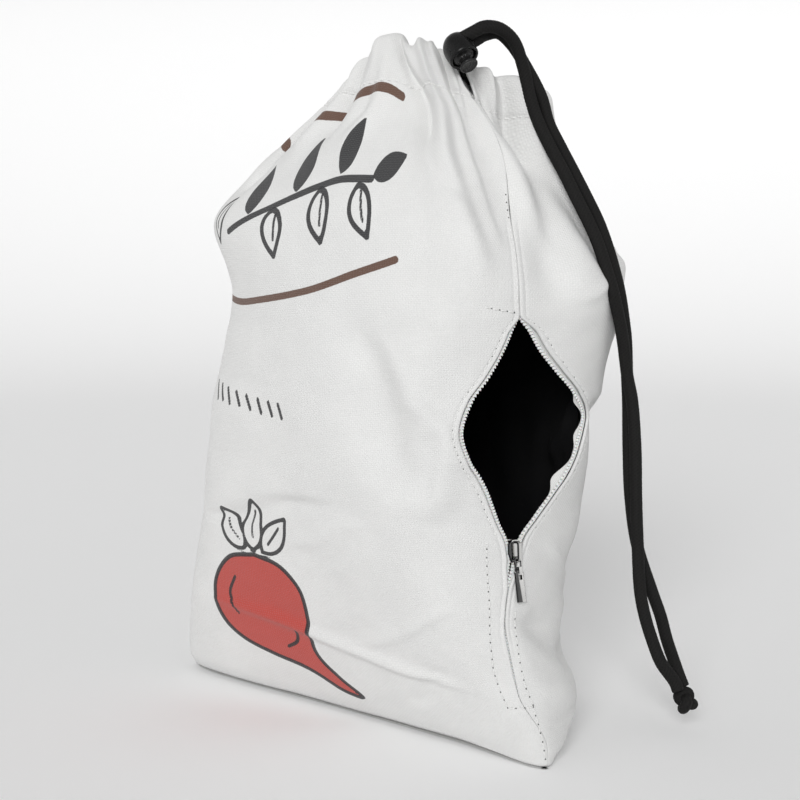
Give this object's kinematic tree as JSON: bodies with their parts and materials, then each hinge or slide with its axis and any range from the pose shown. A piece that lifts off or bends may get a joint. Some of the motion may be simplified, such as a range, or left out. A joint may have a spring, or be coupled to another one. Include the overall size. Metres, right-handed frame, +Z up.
{
  "type": "potato storage bag",
  "caption": "Standing cotton storage bag with a black lining, a zipped opening in one side seam and a drawcord mouth closed by a bell-shaped cord lock.",
  "frame": {"origin": "on the underside of the base, below the middle of the mouth's width", "axes": "+Z up, the printed front faces -Y, the zipped side seam faces +X"},
  "size_m": [0.2382, 0.1398, 0.308],
  "materials": {
    "cotton": "matte plain weave",
    "black_lining": "matte",
    "zip_tape": "matte",
    "zip_coil": "satin",
    "nickel": "bright",
    "lock_plastic": "gloss",
    "black_cord": "braided, matte"
  },
  "bodies": {
    "bag": {"front_panel": "cotton", "back_panel": "cotton", "lining_front": "black_lining", "lining_back": "black_lining", "zip_tape_front": "zip_tape", "zip_tape_back": "zip_tape", "zip_coil_front": "zip_coil", "zip_coil_back": "zip_coil", "zip_slider": "nickel", "lock_bell": "lock_plastic", "drawcord": "black_cord", "cord_strand_a": "black_cord", "cord_strand_b": "black_cord", "cord_knot": "black_cord"},
    "zip_pull": {"zip_pull_ring": "nickel", "zip_pull_tab": "nickel"},
    "lock_button": {"lock_plunger": "lock_plastic"}
  },
  "joints": [
    {"name": "zip_pull_swing", "type": "hinge", "parent": "bag", "child": "zip_pull", "pos_m": [0.09184, 0.00314, 0.08416], "axis": [-0.0338, -0.9976, 0.0604], "range_deg": [0, 120]},
    {"name": "lock_button_press", "type": "slide", "parent": "bag", "child": "lock_button", "axis": [-0.6575, 0.0281, 0.7529], "range_m": [0, 0.0025], "stiffness_N_per_m": 300, "springref_m": -0.001}
  ]
}
